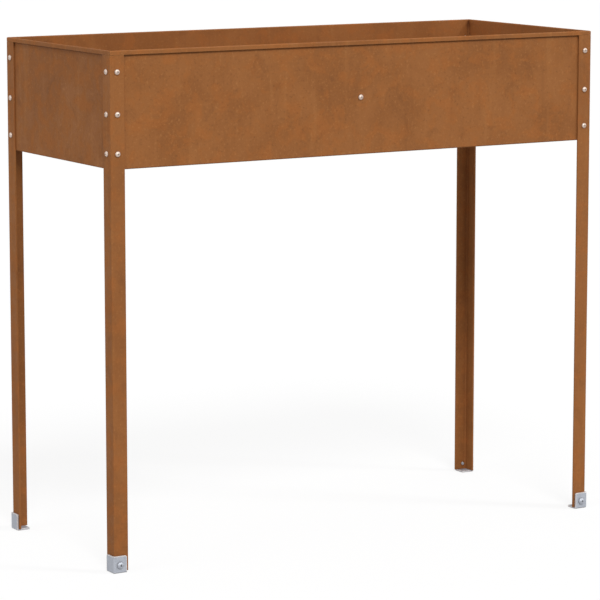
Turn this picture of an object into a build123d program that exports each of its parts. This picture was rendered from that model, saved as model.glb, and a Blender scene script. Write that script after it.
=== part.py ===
"""Planter box on four legs: weathering-steel sheet and angles, zinc-plated feet.

The legs are bolted to the panels with nuts, and each foot's bolt is screwed into its leg.

Frame: the origin is on the floor under the middle of the box. +X runs along the box,
+Y to its back and +Z up. Sizes are in millimetres.
"""

import os

from build123d import *

# Overall size, over the outer faces of the legs
length = 1000.0
depth = 400.0
height = 900.0
box_height = 202.0  # from the rim's top to the panels' bottom edge

# Legs: rolled L-angles that stand outside the panels
leg_flange = 27.0
leg_thickness = 3.0
leg_root = 2.5  # radius of the inner corner
leg_corner = 0.8  # rounding of the outer corner, and of the rim's corners above it
leg_edge = 0.4  # rounding of the flanges' free edges
leg_top_gap = 0.3  # under the rim

# Sheet of the panels and the floor
sheet = 1.2
sheet_bend = 1.2  # inner radius of the lip's bend
hem_height = 7.5  # the rim, folded outward and down
lip_width = 20.0  # folded inward under the floor
mitre_slit = 0.3  # between two hems at a corner
corner_relief = 0.1  # from a panel's end to the root of the leg
floor_gap = 0.3  # from the floor's edge to the lips' bends

# Drain holes in the floor
drain_radius = 5.0
drain_columns = 6
drain_rows = 2
drain_edge = 100.0  # from the floor's edges to the outer holes

# Brace between the middles of the long panels
brace_width = 20.0
brace_thickness = 2.0
brace_bend = 1.5  # inner radius
brace_drop = 100.5  # from the rim's top to its bolts
brace_tab_above = 10.0  # from its bolts to the tabs' free ends
brace_tab_below = 14.0  # from its bolts to the strip's underside

# Places of the three bolts in each leg flange
bolt_gauge = 13.5  # from the leg's outer corner to the line of its bolts
top_bolt_drop = 36.0  # from the rim's top
bottom_bolt_rise = 27.0  # from the panels' bottom edge
middle_bolt_offset = 2.5  # below the midpoint of the other two

# Feet: a square plate with a wall on each outer side
foot_size = 26.0
foot_wall = 3.0
foot_height = 30.0
foot_bend = 2.5
foot_tip = 3.0  # rounding of the free corners
foot_bolt_rise = 14.0

# Fasteners: pan head bolts with a cross recess, and hexagon nuts. The shank and the head are
# radii, the cross is its width, and the nut is its width across flats.
M5 = {"shank": 2.5, "head": 4.75, "rise": 3.7, "cross": 4.4, "nut": 8.0, "nut_rise": 4.0}
M6 = {"shank": 3.0, "head": 6.0, "rise": 4.6, "cross": 5.8}
hole_clearance = 0.25  # all round a bolt, in what it passes through
thread_clearance = 0.1  # all round a bolt, in the nut or the leg that it is screwed into
leg_bolt_length = 10.0
brace_bolt_length = 8.0
foot_bolt_length = 8.0

# Shares that shape every fastener
head_side = 0.3  # straight side of a head, of its rise
cross_sink = 0.55  # depth of the cross, of the head's rise
cross_slot = 0.22  # width of the cross's slots, of the cross
cross_floor = 0.3  # width of the cross at its floor, of the cross
bolt_point = 0.15  # chamfer of a bolt's end, of its shank
nut_slope = 0.12  # height of a nut's corner chamfers, of its rise
nut_crown = 1.2  # width of those chamfers, of the corners' reach past the flats

# Working values
overshoot = 1.0  # by which a cutting body passes what it cuts
pick = 0.01  # nearness that counts as lying on a face or an edge

# Places worked out from the sizes above
half_length = length / 2
half_depth = depth / 2
box_bottom = height - box_height
hem_bottom = height - hem_height
panel_inset = leg_thickness + sheet  # from a leg's outer face to the panel's inner face
drill_depth = foot_wall + leg_thickness + sheet + brace_thickness  # past any stack of pieces
top_bolt_z = height - top_bolt_drop
bottom_bolt_z = box_bottom + bottom_bolt_rise
middle_bolt_z = (top_bolt_z + bottom_bolt_z) / 2 - middle_bolt_offset
bolt_heights = (top_bolt_z, middle_bolt_z, bottom_bolt_z)
brace_z = height - brace_drop
foot_bolt_x = -half_length - foot_wall + foot_size / 2

from_low_corner = (Align.MIN, Align.MIN, Align.MIN)


def outward(x, y, z, direction):
    """A place whose own +Z points out of the object along the given direction."""
    return Location(Plane(origin=(x, y, z), z_dir=direction))


def front_flange_seats():
    """Bolt places on the front flange of the front left leg."""
    x = -half_length + bolt_gauge
    return [outward(x, -half_depth, z, (0, -1, 0)) for z in bolt_heights]


def side_flange_seats():
    """Bolt places on the left flange of the front left leg."""
    y = -half_depth + bolt_gauge
    return [outward(-half_length, y, z, (-1, 0, 0)) for z in bolt_heights]


def brace_seats():
    """Bolt places in the middles of the front and back panels, on their outer faces."""
    face = half_depth - leg_thickness
    return [outward(0, -face, brace_z, (0, -1, 0)), outward(0, face, brace_z, (0, 1, 0))]


def foot_seat():
    """Bolt place on the front wall of the front left foot."""
    return outward(foot_bolt_x, -half_depth - foot_wall, foot_bolt_rise, (0, -1, 0))


def drilled(body, seats, size, clearance=hole_clearance):
    """The body with a hole through it at each bolt place."""
    drill = Cylinder(size["shank"] + clearance, 2 * drill_depth)
    for seat in seats:
        body = body - seat * drill
    return body


def cross_recess(size):
    """Tapered cross that is cut into a bolt's head; it runs on above the head."""
    half_width = size["cross"] / 2
    half_floor = cross_floor * half_width
    sink = cross_sink * size["rise"]
    bar = Box(size["cross"], cross_slot * size["cross"], 2 * sink)
    taper = Cone(half_floor, 2 * half_width - half_floor, 2 * sink)
    return Pos(0, 0, size["rise"]) * ((bar + Rot(0, 0, 90) * bar) & taper)


def bolt(size, shank_length):
    """Pan head bolt: the head stands on z = 0 and the shank goes down from it."""
    side = head_side * size["rise"]
    dome_rise = size["rise"] - side
    dome_radius = (size["head"] ** 2 + dome_rise**2) / (2 * dome_rise)
    half_way = size["head"] / 2
    half_drop = dome_radius - (dome_radius**2 - half_way**2) ** 0.5
    point = bolt_point * size["shank"]
    outline = [
        Line((0, size["rise"]), (0, -shank_length)),
        Line((0, -shank_length), (size["shank"] - point, -shank_length)),
        Line((size["shank"] - point, -shank_length), (size["shank"], -shank_length + point)),
        Line((size["shank"], -shank_length + point), (size["shank"], 0)),
        Line((size["shank"], 0), (size["head"], 0)),
        Line((size["head"], 0), (size["head"], side)),
        ThreePointArc(
            (size["head"], side), (half_way, size["rise"] - half_drop), (0, size["rise"])
        ),
    ]
    blank = revolve(Plane.XZ * make_face(outline), Axis.Z)
    return blank - cross_recess(size)


def nut(size, grip):
    """Hexagon nut whose bearing face lies the grip below z = 0."""
    corner = size["nut"] / 3**0.5
    rise = size["nut_rise"]
    slope = nut_slope * rise
    prism = extrude(RegularPolygon(corner, 6), rise)
    blank = Cylinder(corner, rise, align=(Align.CENTER, Align.CENTER, Align.MIN))
    rims = blank.edges().filter_by(GeomType.CIRCLE)
    blank = chamfer(rims, slope, nut_crown * (corner - size["nut"] / 2))
    bore = Cylinder(size["shank"] + thread_clearance, 2 * (rise + overshoot))
    return Pos(0, 0, -grip - rise) * ((prism & blank) - bore)


def panel_section():
    """Section of a panel: x runs outward from its outer face, y down from the rim's top."""
    hem_outer = (leg_thickness + sheet) / 2
    hem_inner = hem_outer - sheet
    hem_centre = (leg_thickness / 2 - sheet / 2, -hem_outer)
    lip_top = -box_height + sheet
    bend_centre = (-sheet - sheet_bend, lip_top + sheet_bend)
    outline = [
        Line((leg_thickness, -hem_height), (leg_thickness, -hem_outer)),
        CenterArc(hem_centre, hem_outer, 0, 180),
        Line((-sheet, -hem_outer), (-sheet, bend_centre[1])),
        CenterArc(bend_centre, sheet_bend, 0, -90),
        Line((bend_centre[0], lip_top), (-sheet - lip_width, lip_top)),
        Line((-sheet - lip_width, lip_top), (-sheet - lip_width, -box_height)),
        Line((-sheet - lip_width, -box_height), (bend_centre[0], -box_height)),
        CenterArc(bend_centre, sheet_bend + sheet, -90, 90),
        Line((0, bend_centre[1]), (0, -hem_outer)),
        CenterArc(hem_centre, hem_inner, 180, -180),
        Line((leg_thickness - sheet, -hem_outer), (leg_thickness - sheet, -hem_height)),
        Line((leg_thickness - sheet, -hem_height), (leg_thickness, -hem_height)),
    ]
    return make_face(outline)


def mitred_block(span, standoff, end_gap, bottom, top):
    """Block whose ends run inward at 45 degrees from the corners of the box."""
    reach = leg_thickness + sheet + lip_width + overshoot
    outer = span / 2 - end_gap
    inner = outer - reach
    front = -standoff
    corners = [(-outer, front), (outer, front), (inner, front + reach), (-inner, front + reach)]
    return Pos(0, 0, bottom) * extrude(make_face(Polyline(*corners, close=True)), top - bottom)


def panel(span, standoff):
    """Panel that faces -Y, between two corners that are the span apart."""
    face_line = (0, -standoff + leg_thickness, height)
    section_plane = Plane(origin=face_line, x_dir=(0, -1, 0), z_dir=(-1, 0, 0))
    bar = extrude(section_plane * panel_section(), span / 2, both=True)
    slit_gap = mitre_slit / 2**0.5
    relief_gap = leg_root + corner_relief
    rim_block = mitred_block(span, standoff, slit_gap, hem_bottom, height)
    wall_block = mitred_block(span, standoff, relief_gap, box_bottom, hem_bottom)
    rounded_corners = RectangleRounded(span, 2 * standoff, leg_corner)
    footprint = Pos(0, 0, box_bottom) * extrude(rounded_corners, box_height)
    sheet_body = bar & (rim_block + wall_block) & footprint
    x = span / 2 - bolt_gauge
    seats = [outward(s * x, -standoff, z, (0, -1, 0)) for s in (-1, 1) for z in bolt_heights]
    return drilled(sheet_body, seats, M5)


def long_panel():
    """Front panel, with the hole for the brace's bolt."""
    return drilled(panel(length, half_depth), brace_seats()[:1], M5)


def floor():
    """Loose bottom sheet that lies on the four lips."""
    margin = panel_inset + sheet_bend + floor_gap
    half_x = half_length - margin
    half_y = half_depth - margin
    plate = Pos(0, 0, box_bottom + sheet) * Box(
        2 * half_x, 2 * half_y, sheet, align=(Align.CENTER, Align.CENTER, Align.MIN)
    )
    x_pitch = 2 * (half_x - drain_edge) / (drain_columns - 1)
    y_pitch = 2 * (half_y - drain_edge) / (drain_rows - 1)
    drill = Pos(0, 0, box_bottom + sheet) * Cylinder(drain_radius, 2 * (sheet + overshoot))
    for place in GridLocations(x_pitch, y_pitch, drain_columns, drain_rows):
        plate = plate - place * drill
    return plate


def brace():
    """Flat strip from the front panel to the back one, with its ends bent up as tabs."""
    half_span = half_depth - panel_inset
    rise = brace_tab_above + brace_tab_below
    outer = Rectangle(2 * half_span, rise, align=(Align.CENTER, Align.MIN))
    inner = Pos(0, brace_thickness) * Rectangle(
        2 * (half_span - brace_thickness), rise, align=(Align.CENTER, Align.MIN)
    )
    low_outer = outer.vertices().sort_by(Axis.Y)[:2]
    low_inner = inner.vertices().sort_by(Axis.Y)[:2]
    section = fillet(low_outer, brace_bend + brace_thickness) - fillet(low_inner, brace_bend)
    place = Plane(origin=(0, 0, brace_z - brace_tab_below), x_dir=(0, 1, 0), z_dir=(1, 0, 0))
    strip = extrude(place * section, brace_width / 2, both=True)
    return drilled(strip, brace_seats(), M5)


def leg():
    """Front left leg: an L-angle with its corner at the corner of the box."""
    square = Rectangle(leg_flange, leg_flange, align=(Align.MIN, Align.MIN))
    pocket = Pos(leg_thickness, leg_thickness) * square
    corner = square.vertices().sort_by_distance((0, 0))[0]
    pocket_corner = pocket.vertices().sort_by_distance((0, 0))[0]
    section = fillet(corner, leg_corner) - fillet(pocket_corner, leg_root)
    free_edges = section.vertices().filter_by(lambda v: max(v.X, v.Y) > leg_flange - pick)
    section = fillet(free_edges, leg_edge)
    top = hem_bottom - leg_top_gap
    angle = Pos(-half_length, -half_depth, foot_wall) * extrude(section, top - foot_wall)
    angle = drilled(angle, front_flange_seats() + side_flange_seats(), M5)
    return drilled(angle, [foot_seat()], M6, thread_clearance)


def foot():
    """Front left foot: the plate lies under the leg and the walls outside it."""
    block = Box(foot_size, foot_size, foot_height, align=from_low_corner)
    upright = block.edges().filter_by(Axis.Z).sort_by_distance((0, 0, 0))[0]
    bottom = block.edges().group_by(Axis.Z)[0]
    bottom_front = bottom.filter_by(Axis.X).sort_by(Axis.Y)[0]
    bottom_side = bottom.filter_by(Axis.Y).sort_by(Axis.X)[0]
    block = fillet([upright, bottom_front, bottom_side], foot_bend)
    pocket = Pos(foot_wall, foot_wall, foot_wall) * Box(
        foot_size, foot_size, foot_height, align=from_low_corner
    )
    body = block - pocket
    far = foot_size - pick
    top = foot_height - pick
    wall_tips = body.edges().filter_by(
        lambda e: e.center().Z > top and max(e.center().X, e.center().Y) > far
    )
    plate_tip = body.edges().filter_by(lambda e: min(e.center().X, e.center().Y) > far)
    body = fillet(wall_tips + plate_tip, foot_tip)
    placed = Pos(-half_length - foot_wall, -half_depth - foot_wall, 0) * body
    return drilled(placed, [foot_seat()], M6)


def at_corners(shape):
    """The front left shape, and its mirrored copies at the other three corners."""
    right = mirror(shape, Plane.YZ)
    return {
        "front_left": shape,
        "front_right": right,
        "rear_left": mirror(shape, Plane.XZ),
        "rear_right": mirror(right, Plane.XZ),
    }


def fastener_group(shape, seats):
    """Copies of one fastener at each place, kept as separate solids."""
    return Compound(children=[seat * shape for seat in seats])


leg_seats = front_flange_seats() + side_flange_seats()
side_panel = panel(depth, half_length)

nodes = {
    "front_panel": long_panel(),
    "back_panel": Rot(0, 0, 180) * long_panel(),
    "left_panel": Rot(0, 0, -90) * side_panel,
    "right_panel": Rot(0, 0, 90) * side_panel,
    "floor_panel": floor(),
    "cross_brace": brace(),
    "brace_bolts": fastener_group(bolt(M5, brace_bolt_length), brace_seats()),
    "brace_nuts": fastener_group(nut(M5, sheet + brace_thickness), brace_seats()),
}

corner_shapes = {
    "leg": leg(),
    "foot": foot(),
    "leg_bolts": fastener_group(bolt(M5, leg_bolt_length), leg_seats),
    "leg_nuts": fastener_group(nut(M5, panel_inset), leg_seats),
    "foot_bolt": foot_seat() * bolt(M6, foot_bolt_length),
}
for piece, shape in corner_shapes.items():
    for corner, copy in at_corners(shape).items():
        nodes[f"{corner}_{piece}"] = copy

os.makedirs("parts", exist_ok=True)
for node, shape in nodes.items():
    export_step(shape, f"parts/{node}.step")
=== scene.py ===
"""Looks of the planter box: rusted steel, zinc feet and fasteners, white studio, camera."""

import math

import bpy
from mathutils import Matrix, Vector


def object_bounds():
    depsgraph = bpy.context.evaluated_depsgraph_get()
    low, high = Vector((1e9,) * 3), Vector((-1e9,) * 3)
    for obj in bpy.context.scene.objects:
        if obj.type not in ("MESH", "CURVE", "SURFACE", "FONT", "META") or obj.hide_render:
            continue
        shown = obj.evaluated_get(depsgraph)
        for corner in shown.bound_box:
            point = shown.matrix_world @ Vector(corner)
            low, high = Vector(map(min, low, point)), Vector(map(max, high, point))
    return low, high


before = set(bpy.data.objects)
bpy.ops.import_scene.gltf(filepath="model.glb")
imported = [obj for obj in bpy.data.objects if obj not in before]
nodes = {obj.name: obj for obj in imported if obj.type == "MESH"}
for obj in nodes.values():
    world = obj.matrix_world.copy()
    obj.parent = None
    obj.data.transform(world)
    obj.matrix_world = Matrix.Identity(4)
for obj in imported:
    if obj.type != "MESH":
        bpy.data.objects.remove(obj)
cad_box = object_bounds()


# ---------------------------------------------------------------- node helpers


def linear(red, green, blue):
    """Linear colour of an 8-bit sRGB one."""

    def channel(value):
        value /= 255
        return value / 12.92 if value <= 0.04045 else ((value + 0.055) / 1.055) ** 2.4

    return (channel(red), channel(green), channel(blue), 1.0)


class Graph:
    """Adds nodes to one material. An input is linked if it is a socket, and set if it is a value."""

    def __init__(self, name):
        self.material = bpy.data.materials.new(name)
        self.material.use_nodes = True
        self.tree = self.material.node_tree
        self.surface = self.tree.nodes["Principled BSDF"]
        self.output = self.tree.nodes["Material Output"]
        coords = self.tree.nodes.new("ShaderNodeTexCoord")
        self.place = coords.outputs["Object"]

    def put(self, socket, value):
        """Links or sets one input."""
        if isinstance(value, bpy.types.NodeSocket):
            self.tree.links.new(value, socket)
        else:
            socket.default_value = value

    def add(self, kind, inputs=(), **settings):
        """A new node with its settings made and its inputs put in."""
        node = self.tree.nodes.new("ShaderNode" + kind)
        for name, value in settings.items():
            setattr(node, name, value)
        for key, value in dict(inputs).items():
            self.put(node.inputs[key], value)
        return node

    def moved(self, location, scale=(1, 1, 1)):
        """Object coordinates, moved and stretched."""
        inputs = {"Vector": self.place, "Scale": scale, "Location": location}
        return self.add("Mapping", inputs).outputs["Vector"]

    def noise(self, scale, detail, roughness, place=None, distortion=0.0):
        """Noise pattern; the scale is in waves per metre."""
        inputs = {
            "Vector": place or self.place,
            "Scale": scale,
            "Detail": detail,
            "Roughness": roughness,
            "Distortion": distortion,
        }
        return self.add("TexNoise", inputs).outputs["Fac"]

    def spread(self, value, low, high, to_low=0.0, to_high=1.0):
        """Maps the range low..high smoothly to to_low..to_high."""
        inputs = {0: value, 1: low, 2: high, 3: to_low, 4: to_high}
        return self.add("MapRange", inputs, interpolation_type="SMOOTHSTEP").outputs[0]

    def math(self, operation, first, second):
        return self.add("Math", {0: first, 1: second}, operation=operation).outputs[0]

    def mix(self, factor, first, second):
        """The first colour at 0 and the second at 1."""
        node = self.add("Mix", data_type="RGBA")
        for key, value in ((0, factor), (6, first), (7, second)):
            self.put(node.inputs[key], value)
        return node.outputs[2]

    def rounded(self, radius):
        """Normal that runs smoothly round the sharp edges."""
        return self.add("Bevel", {"Radius": radius}, samples=6).outputs["Normal"]

    def edge(self, radius):
        """1 on the object's sharp edges and 0 on its flats, over about the given radius."""
        flat = self.add("NewGeometry").outputs["Normal"]
        dot = self.add("VectorMath", {0: self.rounded(radius), 1: flat}, operation="DOT_PRODUCT")
        return self.spread(dot.outputs["Value"], 0.995, 0.80)

    def painted_shade_mask(self, reach):
        """Mask for painted shade: 1 deep in corners and under laps, and 0 on open faces, over about
        the given reach.
        """
        occlusion = self.add("AmbientOcclusion", {"Distance": reach}, samples=8)
        return self.spread(occlusion.outputs["AO"], 0.96, 0.50)

    def bump(self, height, distance, strength, normal):
        inputs = {"Height": height, "Distance": distance, "Strength": strength, "Normal": normal}
        return self.add("Bump", inputs).outputs["Normal"]

    def set_surface(self, **values):
        """Puts values into the surface shader's inputs, named with _ for a space."""
        for name, value in values.items():
            self.put(self.surface.inputs[name.replace("_", " ")], value)


# ---------------------------------------------------------------- materials

# All lengths are in metres.
RIM_TOP = cad_box[1][2]
RIM_SHADOW_FROM = RIM_TOP - 0.022  # from this height up the painted corner shade grows stronger, as a painted shadow under the rim
RIM_SHADOW_TO = RIM_TOP - 0.012
STEEL_EDGE = 0.0012  # how far the lighter edge reaches: partly wear, partly painted highlight
STEEL_ROUND = 0.0005  # rounding that the light shows on the sheet's edges
STEEL_SHADE_REACH = 0.012  # how far the painted shade of a corner reaches
ZINC_ROUND = 0.0006
# how far the painted shade in the zinc's recesses reaches
ZINC_SHADE_REACH = 0.0025
HANGING = (1.0, 1.0, 0.09)  # draws a pattern out downward, as rain does
PATCH_STEP = (3.1, 1.7, 2.3)  # from one piece's part of the patterns to the next one's


def weathering_steel(name, offset):
    """Rust patina: soft clouds and blotches of orange brown, faint rain marks, specks and pits."""
    g = Graph(name)
    place = g.moved(offset)
    clouds = g.noise(8.0, 4.0, 0.55, place, distortion=0.6)
    blotches = g.noise(34.0, 4.0, 0.6, place, distortion=0.5)
    stains = g.noise(19.0, 3.0, 0.6, place, distortion=1.2)
    runs = g.noise(62.0, 3.0, 0.55, g.moved(offset, HANGING))
    speckle = g.noise(240.0, 3.0, 0.6, place)
    grain = g.noise(900.0, 2.0, 0.6, place)

    shade = linear(141, 87, 42)
    body = linear(151, 95, 48)
    orange = linear(164, 98, 47)
    umber = linear(108, 65, 32)
    ochre = linear(182, 124, 70)
    painted_shade_brown = linear(98, 50, 17)
    colour = g.mix(g.spread(clouds, 0.36, 0.60), shade, body)
    # Each layer: its pattern, where it starts, where it is full, how much it covers, its colour.
    layers = (
        (blotches, 0.47, 0.66, 0.50, orange),
        (stains, 0.55, 0.74, 0.30, umber),
        (runs, 0.54, 0.76, 0.17, umber),
        (runs, 0.46, 0.26, 0.15, ochre),
        (speckle, 0.56, 0.74, 0.40, umber),
        (speckle, 0.44, 0.28, 0.35, ochre),
        (grain, 0.60, 0.78, 0.30, umber),
    )
    for pattern, start, full, cover, tint in layers:
        colour = g.mix(g.spread(pattern, start, full, 0.0, cover), colour, tint)
    # Lighter ochre edges, varied by the blotches: partly wear, partly a painted highlight along the
    # bends and rims.
    edge_wear_and_highlight = g.math("MULTIPLY", g.edge(STEEL_EDGE), g.spread(blotches, 0.35, 0.60, 0.15, 0.60))
    colour = g.mix(edge_wear_and_highlight, colour, ochre)
    # Painted shade: darker brown in corners, under the hem and round the bolts, strongest just under
    # the rim as a painted shadow.
    height = g.add("SeparateXYZ", {0: g.place}).outputs["Z"]
    rim_shadow_strength = g.spread(height, RIM_SHADOW_FROM, RIM_SHADOW_TO, 0.30, 0.80)
    colour = g.mix(g.math("MULTIPLY", g.painted_shade_mask(STEEL_SHADE_REACH), rim_shadow_strength), colour, painted_shade_brown)

    relief = g.math("ADD", g.math("MULTIPLY", speckle, 0.7), g.math("MULTIPLY", grain, 0.3))
    g.set_surface(
        Base_Color=colour,
        Roughness=g.spread(blotches, 0.35, 0.70, 0.68, 0.86),
        Specular_IOR_Level=0.28,
        Normal=g.bump(relief, 0.00035, 0.55, g.rounded(STEEL_ROUND)),
    )
    return g.material


def zinc(name, pale, dull, edge_wear_and_highlight, edge_wear_and_highlight_reach, roughness, spangle_scale):
    """Zinc plating: faint crystals of slightly different grey, with edges lightened in the given edge
    colour as wear and painted highlight, and painted shade in the recesses.
    """
    g = Graph(name)
    cells = g.add("TexVoronoi", {"Vector": g.place, "Scale": spangle_scale})
    clouds = g.noise(90.0, 3.0, 0.6)
    grain = g.noise(1400.0, 2.0, 0.6)
    painted_recess_shade = linear(84, 66, 56)
    shade = g.math("ADD", g.math("MULTIPLY", cells.outputs["Color"], 0.30), clouds)
    colour = g.mix(g.spread(shade, 0.30, 1.0), dull, pale)
    # Edges lightened in the edge colour: partly wear, partly painted highlight.
    colour = g.mix(g.math("MULTIPLY", g.edge(edge_wear_and_highlight_reach), 0.85), colour, edge_wear_and_highlight)
    # Painted shade: dark grey in the recesses and round the bolt heads.
    colour = g.mix(g.math("MULTIPLY", g.painted_shade_mask(ZINC_SHADE_REACH), 0.50), colour, painted_recess_shade)
    smoothest, roughest = roughness
    g.set_surface(
        Base_Color=colour,
        Metallic=0.50,
        Roughness=g.spread(clouds, 0.3, 0.7, smoothest, roughest),
        Normal=g.bump(grain, 0.00003, 0.5, g.rounded(ZINC_ROUND)),
    )
    return g.material


def dress(node, material):
    """Gives a CAD node its finished material."""
    for slot in nodes[node].material_slots:
        slot.material = material


grey = linear(184, 188, 196)
dark_grey = linear(170, 174, 183)
# The fasteners' warm pinkish tint is a painted reflection of the rust around them.
rust_tinted_pale = linear(222, 202, 188)
rust_tinted_dull = linear(200, 179, 164)
# Edge colours: on the feet a painted highlight along the wall tops and corners; on the bolts partly
# wear, partly painted highlight.
cream = linear(222, 208, 198)
foot_highlight_cream = linear(252, 238, 228)
foot_zinc = zinc(
    "zinc_foot", grey, dark_grey, foot_highlight_cream, edge_wear_and_highlight_reach=0.003, roughness=(0.55, 0.70), spangle_scale=420.0
)
foot_bolt_zinc = zinc(
    "zinc_foot_bolt", grey, dark_grey, grey, edge_wear_and_highlight_reach=0.001, roughness=(0.45, 0.58), spangle_scale=900.0
)
bolt_zinc = zinc(
    "zinc_fastener", rust_tinted_pale, rust_tinted_dull, cream, edge_wear_and_highlight_reach=0.0008, roughness=(0.34, 0.46), spangle_scale=900.0
)

steel_nodes = sorted(n for n in nodes if n.endswith(("_panel", "_leg", "_brace")))
for index, node in enumerate(steel_nodes):
    offset = tuple(step * index for step in PATCH_STEP)
    dress(node, weathering_steel("rust_" + node, offset))
for node in nodes:
    if node.endswith("_foot"):
        dress(node, foot_zinc)
    elif node.endswith("_foot_bolt"):
        dress(node, foot_bolt_zinc)
    elif node.endswith(("_bolts", "_nuts")):
        dress(node, bolt_zinc)


# ---------------------------------------------------------------- studio

FLOOR_HALF = 60.0
FLOOR_DROP = 0.0005  # keeps the floor clear of the feet's undersides
FLOOR_GLOW = 0.82  # share of the seen floor that shines by itself
WORLD_LIGHT = 0.52  # what the surroundings light the object with; they are seen at 1
# Each soft lamp: where its light comes from, its strength and how wide it looks, in degrees.
LAMPS = {
    "key": ((-0.242, -0.665, 0.707), 1.42, 18.0),
    "right": ((0.57, -0.52, 0.63), 0.88, 10.0),
    "left": ((-0.87, -0.15, 0.45), 0.36, 30.0),
}


def studio_floor():
    """White floor: it keeps the shadow, and gives back little light from below."""
    bpy.ops.mesh.primitive_plane_add(size=2 * FLOOR_HALF, location=(0, 0, -FLOOR_DROP))
    floor = bpy.context.object
    floor.name = "studio_floor"
    g = Graph("studio_floor")
    g.tree.nodes.remove(g.surface)
    path = g.add("LightPath").outputs
    seen = g.math("MAXIMUM", path["Is Camera Ray"], path["Is Glossy Ray"])
    seen = g.math("MAXIMUM", seen, path["Is Transmission Ray"])
    dim = g.add("BsdfDiffuse", {"Color": (0.42, 0.42, 0.42, 1)}).outputs[0]
    white = g.add("BsdfDiffuse", {"Color": (0.98, 0.98, 0.98, 1)}).outputs[0]
    glow = g.add("Emission", {"Color": (1, 1, 1, 1), "Strength": 1.0}).outputs[0]
    lit = g.add("MixShader", {0: FLOOR_GLOW, 1: white, 2: glow}).outputs[0]
    g.put(g.output.inputs["Surface"], g.add("MixShader", {0: seen, 1: dim, 2: lit}).outputs[0])
    floor.data.materials.append(g.material)


def studio_world():
    """White all round for the camera and for reflections, softer for the light it casts."""
    world = bpy.data.worlds.new("studio")
    bpy.context.scene.world = world
    world.use_nodes = True
    tree = world.node_tree
    background = tree.nodes["Background"]
    background.inputs["Color"].default_value = (1, 1, 1, 1)
    path = tree.nodes.new("ShaderNodeLightPath").outputs
    seen = path["Is Camera Ray"]
    for name in ("Is Glossy Ray", "Is Transmission Ray"):
        highest = tree.nodes.new("ShaderNodeMath")
        highest.operation = "MAXIMUM"
        tree.links.new(seen, highest.inputs[0])
        tree.links.new(path[name], highest.inputs[1])
        seen = highest.outputs[0]
    strength = tree.nodes.new("ShaderNodeMapRange")
    strength.inputs["To Min"].default_value = WORLD_LIGHT
    strength.inputs["To Max"].default_value = 1.0
    tree.links.new(seen, strength.inputs["Value"])
    tree.links.new(strength.outputs[0], background.inputs["Strength"])


def lamps():
    """Soft lights: the key from the front left, one from the front right, a weak one from the left."""
    for name, (source, strength, width) in LAMPS.items():
        sun = bpy.data.lights.new(name, "SUN")
        sun.energy = strength
        sun.angle = math.radians(width)
        lamp = bpy.data.objects.new(name, sun)
        lamp.rotation_mode = "QUATERNION"
        lamp.rotation_quaternion = Vector(source).to_track_quat("Z", "Y")
        bpy.context.scene.collection.objects.link(lamp)


def camera():
    """Long lens from the front left, a little above the rim."""
    azimuth = math.radians(-31.0)
    elevation = math.radians(8.3)
    aim = Vector((-0.004, 0.005, 0.4655))
    distance = 5.58
    across = math.cos(elevation)
    back = Vector((math.sin(azimuth) * across, -math.cos(azimuth) * across, math.sin(elevation)))
    data = bpy.data.cameras.new("camera")
    data.lens = 181.9
    data.sensor_width = 36.0
    data.shift_y = -0.05
    data.clip_end = 200.0
    eye = bpy.data.objects.new("camera", data)
    eye.location = aim + distance * back
    eye.rotation_mode = "QUATERNION"
    eye.rotation_quaternion = back.to_track_quat("Z", "Y")
    bpy.context.scene.collection.objects.link(eye)
    bpy.context.scene.camera = eye


studio_floor()
studio_world()
lamps()
camera()
bpy.context.scene.view_settings.view_transform = "Standard"
